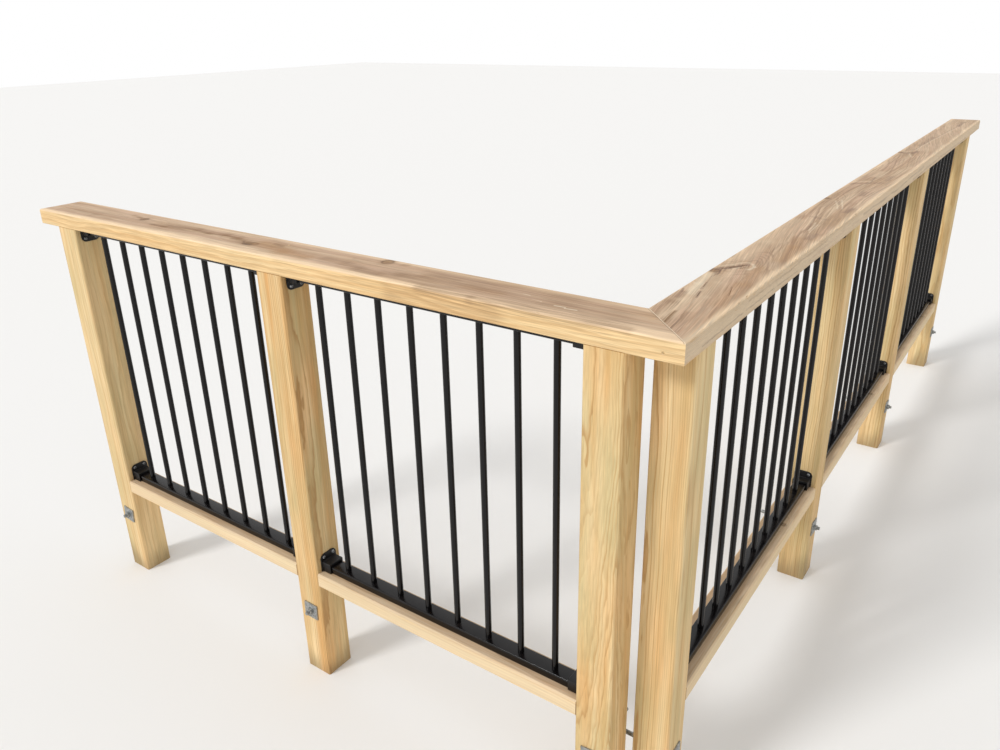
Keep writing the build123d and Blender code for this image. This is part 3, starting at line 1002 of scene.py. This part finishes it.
# each washer is slewed at random either way, each nut and rod turned at random
everything = add("GeometryNodeJoinGeometry")
least = add(scalarMath, [size["Washer Slew"], -1.0], "MULTIPLY")
parts = (
    (plate, least, size["Washer Slew"], True),
    (nut, 0.0, math.radians(60), True),
    (rods, 0.0, 2 * math.pi, False),
)
for number, (shape, lowTurn, highTurn, eased) in enumerate(parts):
    partSeed = add(scalarMath, [size["Seed"], number], "ADD")
    angle = add("FunctionNodeRandomValue", {2: lowTurn, 3: highTurn, "Seed": partSeed}).outputs[1]
    spin = add("FunctionNodeAxisAngleToRotation", {"Axis": (0, 0, 1), "Angle": angle})
    placed = standOn(add, size["Geometry"], shape, spin)
    if eased:
        placed = add("GeometryNodeRealizeInstances", [placed])
        fold = add("GeometryNodeInputMeshEdgeAngle").outputs["Unsigned Angle"]
        placed = add("GeometryNodeStoreNamedAttribute", {
            "Geometry": placed,
            "Name": "bevel_weight_edge",
            "Value": add(scalarMath, [fold, 0.5], "GREATER_THAN"),
        }, data_type="FLOAT", domain="EDGE")
    growAnchors.links.new(placed.outputs[0], everything.inputs[0])
finishTree(add, everything, size["Material"])

anchorNames = [name for name in sorted(nodes) if name.endswith("_anchor")]
standOff = anchor["Washer Thickness"] + anchor["Nut Height"] + anchor["Rod Tail"]
anchorSpots = []
for name in anchorNames:
    low, high, middle, lengthways = measured(name)
    if name.startswith("short"):
        anchorSpots.append(((middle.x, low.y + standOff, middle.z), (0, -1, 0)))
    else:
        anchorSpots.append(((high.x - standOff, middle.y, middle.z), (1, 0, 0)))
anchors = growOnPoints("wallAnchors", growAnchors, anchorSpots, anchor, {
    "Washer Slew": 0.12, "Seed": 7, "Material": galvanised,
})
dress(roundOff(anchors, anchorEdge, 2, "WEIGHT"), "zinc_steel", *anchorNames)
print("anchors grown:", len(anchors.data.polygons), "faces")

# Stage

stage = {
    "floorSize": 60.0,
    "floorColour": "#EDECEA",
    "skyStrength": 0.76,
    "sunStrength": 1.62,
    "sunSoftness": 14,  # degrees across the lamp
    "sunTowards": (0.30, 0.72, -0.62),
}

floorMesh = bpy.data.meshes.new("floor")
half = stage["floorSize"] / 2
corners = [(-half, -half, 0), (half, -half, 0), (half, half, 0), (-half, half, 0)]
floorMesh.from_pydata(corners, [], [(0, 1, 2, 3)])
floor = newPiece("floor", floorMesh)
plaster = bpy.data.materials.new("paleFloor")
plaster.use_nodes = True
finish = plaster.node_tree.nodes["Principled BSDF"].inputs
finish["Base Color"].default_value = linear(stage["floorColour"])
finish["Roughness"].default_value = 0.9
floorMesh.materials.append(plaster)
floor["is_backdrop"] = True

world = bpy.data.worlds.new("studio")
bpy.context.scene.world = world
world.use_nodes = True
world.node_tree.nodes.clear()
add = partial(addNode, world.node_tree)
rays = add("ShaderNodeLightPath").outputs
seen = add(scalarMath, [rays["Is Camera Ray"], rays["Is Glossy Ray"]], "MAXIMUM")
seen = add(scalarMath, [seen, rays["Is Transmission Ray"]], "MAXIMUM")
level = add(mapRange, [seen, 0, 1, stage["skyStrength"], 1.0])
sky = add("ShaderNodeBackground", {"Color": (1, 1, 1, 1), "Strength": level})
add("ShaderNodeOutputWorld", {"Surface": sky})

sunData = bpy.data.lights.new("sun", "SUN")
sunData.energy = stage["sunStrength"]
sunData.angle = math.radians(stage["sunSoftness"])
sun = newPiece("sun", sunData)
sun.rotation_euler = Vector(stage["sunTowards"]).to_track_quat("-Z", "Y").to_euler()

view = {
    "place": (0.56995, -1.41149, 1.82705),
    "turn": 35.189,  # degrees from +Y towards -X
    "tilt": -22.361,
    "roll": -1.033,
    "lens": 29.62,
    "shift": (-0.0064, -0.0167),
}
cameraData = bpy.data.cameras.new("camera")
cameraData.sensor_width = 36
cameraData.lens = view["lens"]
cameraData.shift_x, cameraData.shift_y = view["shift"]
cameraData.clip_start = 0.05
cameraData.clip_end = 200
camera = newPiece("camera", cameraData)
camera.matrix_world = (
    Matrix.Translation(view["place"])
    @ Matrix.Rotation(math.radians(view["turn"]), 4, "Z")
    @ Matrix.Rotation(math.radians(90 + view["tilt"]), 4, "X")
    @ Matrix.Rotation(math.radians(view["roll"]), 4, "Z")
)
bpy.context.scene.camera = camera
bpy.context.scene.view_settings.view_transform = "Standard"
print("stage and camera set")

low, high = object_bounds()
